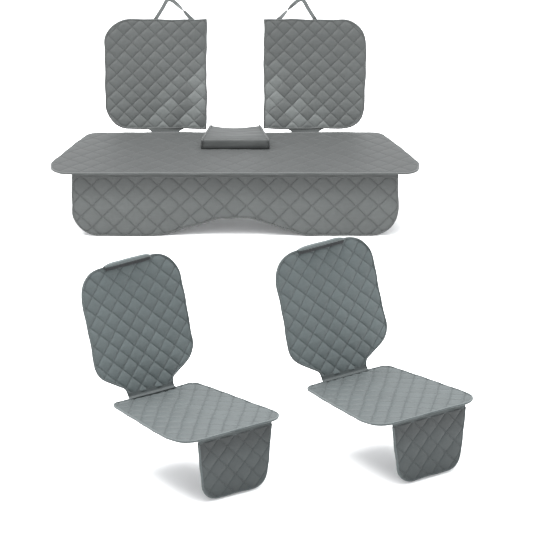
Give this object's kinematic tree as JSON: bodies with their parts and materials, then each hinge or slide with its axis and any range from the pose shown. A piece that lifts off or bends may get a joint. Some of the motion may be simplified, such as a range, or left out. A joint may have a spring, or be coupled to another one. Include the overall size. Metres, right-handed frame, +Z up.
{
  "type": "seat cover set",
  "caption": "Quilted seat cover set: a rear bench cover with a skirt, centre flap and folding backs, and front bucket seat covers with fold-down skirts.",
  "frame": {"origin": "centre of the bench cushion's underside, where it rests on the seat", "axes": "+X to the right across the bench, +Y rearwards towards the backs, +Z up"},
  "size_m": [1.6546, 3.7015, 0.7752],
  "materials": {
    "quilted_cloth": "quilted synthetic cloth, satin",
    "foam": "soft polyester padding",
    "backing_cloth": "non-slip dotted cloth",
    "binding_cloth": "folded woven edge tape",
    "plain_cloth": "plain synthetic cloth",
    "webbing": "woven webbing",
    "buckle_plastic": "matt moulded plastic"
  },
  "bodies": {
    "bench": {"bench_backing": "backing_cloth", "bench_padding": "foam", "bench_face": "quilted_cloth", "bench_binding": "binding_cloth", "bench_anchor_left": "plain_cloth", "bench_anchor_right": "plain_cloth"},
    "bench_skirt": {"bench_skirt_backing": "backing_cloth", "bench_skirt_padding": "foam", "bench_skirt_face": "quilted_cloth", "bench_skirt_binding": "binding_cloth"},
    "centre_flap": {"centre_flap_cover": "plain_cloth", "centre_flap_padding": "foam"},
    "rear_left_back": {"rear_left_back_backing": "backing_cloth", "rear_left_back_padding": "foam", "rear_left_back_face": "quilted_cloth", "rear_left_back_binding": "binding_cloth", "rear_left_back_tuck_tab": "plain_cloth"},
    "rear_left_loop": {"rear_left_headrest_loop": "webbing"},
    "rear_right_back": {"rear_right_back_backing": "backing_cloth", "rear_right_back_padding": "foam", "rear_right_back_face": "quilted_cloth", "rear_right_back_binding": "binding_cloth", "rear_right_back_tuck_tab": "plain_cloth"},
    "rear_right_loop": {"rear_right_headrest_loop": "webbing"},
    "front_left_cushion": {"front_left_cushion_backing": "backing_cloth", "front_left_cushion_padding": "foam", "front_left_cushion_face": "quilted_cloth", "front_left_cushion_binding": "binding_cloth", "front_left_tuck_anchor": "plain_cloth"},
    "front_left_skirt": {"front_left_skirt_backing": "backing_cloth", "front_left_skirt_padding": "foam", "front_left_skirt_face": "quilted_cloth", "front_left_skirt_binding": "binding_cloth"},
    "front_left_back": {"front_left_back_backing": "backing_cloth", "front_left_back_padding": "foam", "front_left_back_face": "quilted_cloth", "front_left_back_binding": "binding_cloth", "front_left_strap_fixed": "webbing", "front_left_buckle_socket": "buckle_plastic", "front_left_strap_free": "webbing"},
    "front_left_headrest_flap": {"front_left_headrest_flap": "plain_cloth"},
    "front_left_buckle_plug": {"front_left_buckle_plug": "buckle_plastic"},
    "front_right_cushion": {"front_right_cushion_backing": "backing_cloth", "front_right_cushion_padding": "foam", "front_right_cushion_face": "quilted_cloth", "front_right_cushion_binding": "binding_cloth", "front_right_tuck_anchor": "plain_cloth"},
    "front_right_skirt": {"front_right_skirt_backing": "backing_cloth", "front_right_skirt_padding": "foam", "front_right_skirt_face": "quilted_cloth", "front_right_skirt_binding": "binding_cloth"},
    "front_right_back": {"front_right_back_backing": "backing_cloth", "front_right_back_padding": "foam", "front_right_back_face": "quilted_cloth", "front_right_back_binding": "binding_cloth", "front_right_strap_fixed": "webbing", "front_right_buckle_socket": "buckle_plastic", "front_right_strap_free": "webbing"},
    "front_right_headrest_flap": {"front_right_headrest_flap": "plain_cloth"},
    "front_right_buckle_plug": {"front_right_buckle_plug": "buckle_plastic"}
  },
  "joints": [
    {"name": "bench_skirt_fold", "type": "hinge", "parent": "bench", "child": "bench_skirt", "pos_m": [0, -0.24, -0.002], "axis": [-1, 0, 0], "range_deg": [-75, 90]},
    {"name": "centre_flap_lift", "type": "hinge", "parent": "bench", "child": "centre_flap", "pos_m": [0, 0.238, 0.01], "axis": [-1, 0, 0], "range_deg": [0, 70]},
    {"name": "rear_left_back_fold", "type": "hinge", "parent": "bench", "child": "rear_left_back", "pos_m": [0, 0.25, 0.009], "axis": [1, 0, 0], "range_deg": [-10, 70]},
    {"name": "rear_left_loop_swing", "type": "hinge", "parent": "rear_left_back", "child": "rear_left_loop", "pos_m": [-0.253, 0.38937, 0.43793], "axis": [1, 0, 0], "range_deg": [-80, 80]},
    {"name": "rear_right_back_fold", "type": "hinge", "parent": "bench", "child": "rear_right_back", "pos_m": [0, 0.25, 0.009], "axis": [1, 0, 0], "range_deg": [-10, 70]},
    {"name": "rear_right_loop_swing", "type": "hinge", "parent": "rear_right_back", "child": "rear_right_loop", "pos_m": [0.253, 0.38937, 0.43793], "axis": [1, 0, 0], "range_deg": [-80, 80]},
    {"name": "front_left_lift", "type": "slide", "parent": "bench", "child": "front_left_cushion", "axis": [0, 0, 1], "range_m": [0, 0.25]},
    {"name": "front_left_skirt_fold", "type": "hinge", "parent": "front_left_cushion", "child": "front_left_skirt", "pos_m": [0.00384, -3.15737, -0.002], "axis": [-0.788, -0.6157, 0], "range_deg": [-75, 90]},
    {"name": "front_left_back_fold", "type": "hinge", "parent": "front_left_cushion", "child": "front_left_back", "pos_m": [-0.31969, -2.74327, 0.012], "axis": [0.788, 0.6157, 0], "range_deg": [-60, 95]},
    {"name": "front_left_headrest_flap_turn", "type": "hinge", "parent": "front_left_back", "child": "front_left_headrest_flap", "pos_m": [-0.41702, -2.61871, 0.50005], "axis": [-0.788, -0.6157, 0], "range_deg": [0, 150]},
    {"name": "front_left_buckle_release", "type": "slide", "parent": "front_left_back", "child": "front_left_buckle_plug", "axis": [0.788, 0.6157, 0], "range_m": [0, 0.02]},
    {"name": "front_right_lift", "type": "slide", "parent": "bench", "child": "front_right_cushion", "axis": [0, 0, 1], "range_m": [0, 0.25]},
    {"name": "front_right_skirt_fold", "type": "hinge", "parent": "front_right_cushion", "child": "front_right_skirt", "pos_m": [0.74884, -2.96937, -0.002], "axis": [-0.788, -0.6157, 0], "range_deg": [-75, 90]},
    {"name": "front_right_back_fold", "type": "hinge", "parent": "front_right_cushion", "child": "front_right_back", "pos_m": [0.42531, -2.55527, 0.012], "axis": [0.788, 0.6157, 0], "range_deg": [-60, 95]},
    {"name": "front_right_headrest_flap_turn", "type": "hinge", "parent": "front_right_back", "child": "front_right_headrest_flap", "pos_m": [0.32798, -2.43071, 0.50005], "axis": [-0.788, -0.6157, 0], "range_deg": [0, 150]},
    {"name": "front_right_buckle_release", "type": "slide", "parent": "front_right_back", "child": "front_right_buckle_plug", "axis": [0.788, 0.6157, 0], "range_m": [0, 0.02]}
  ]
}
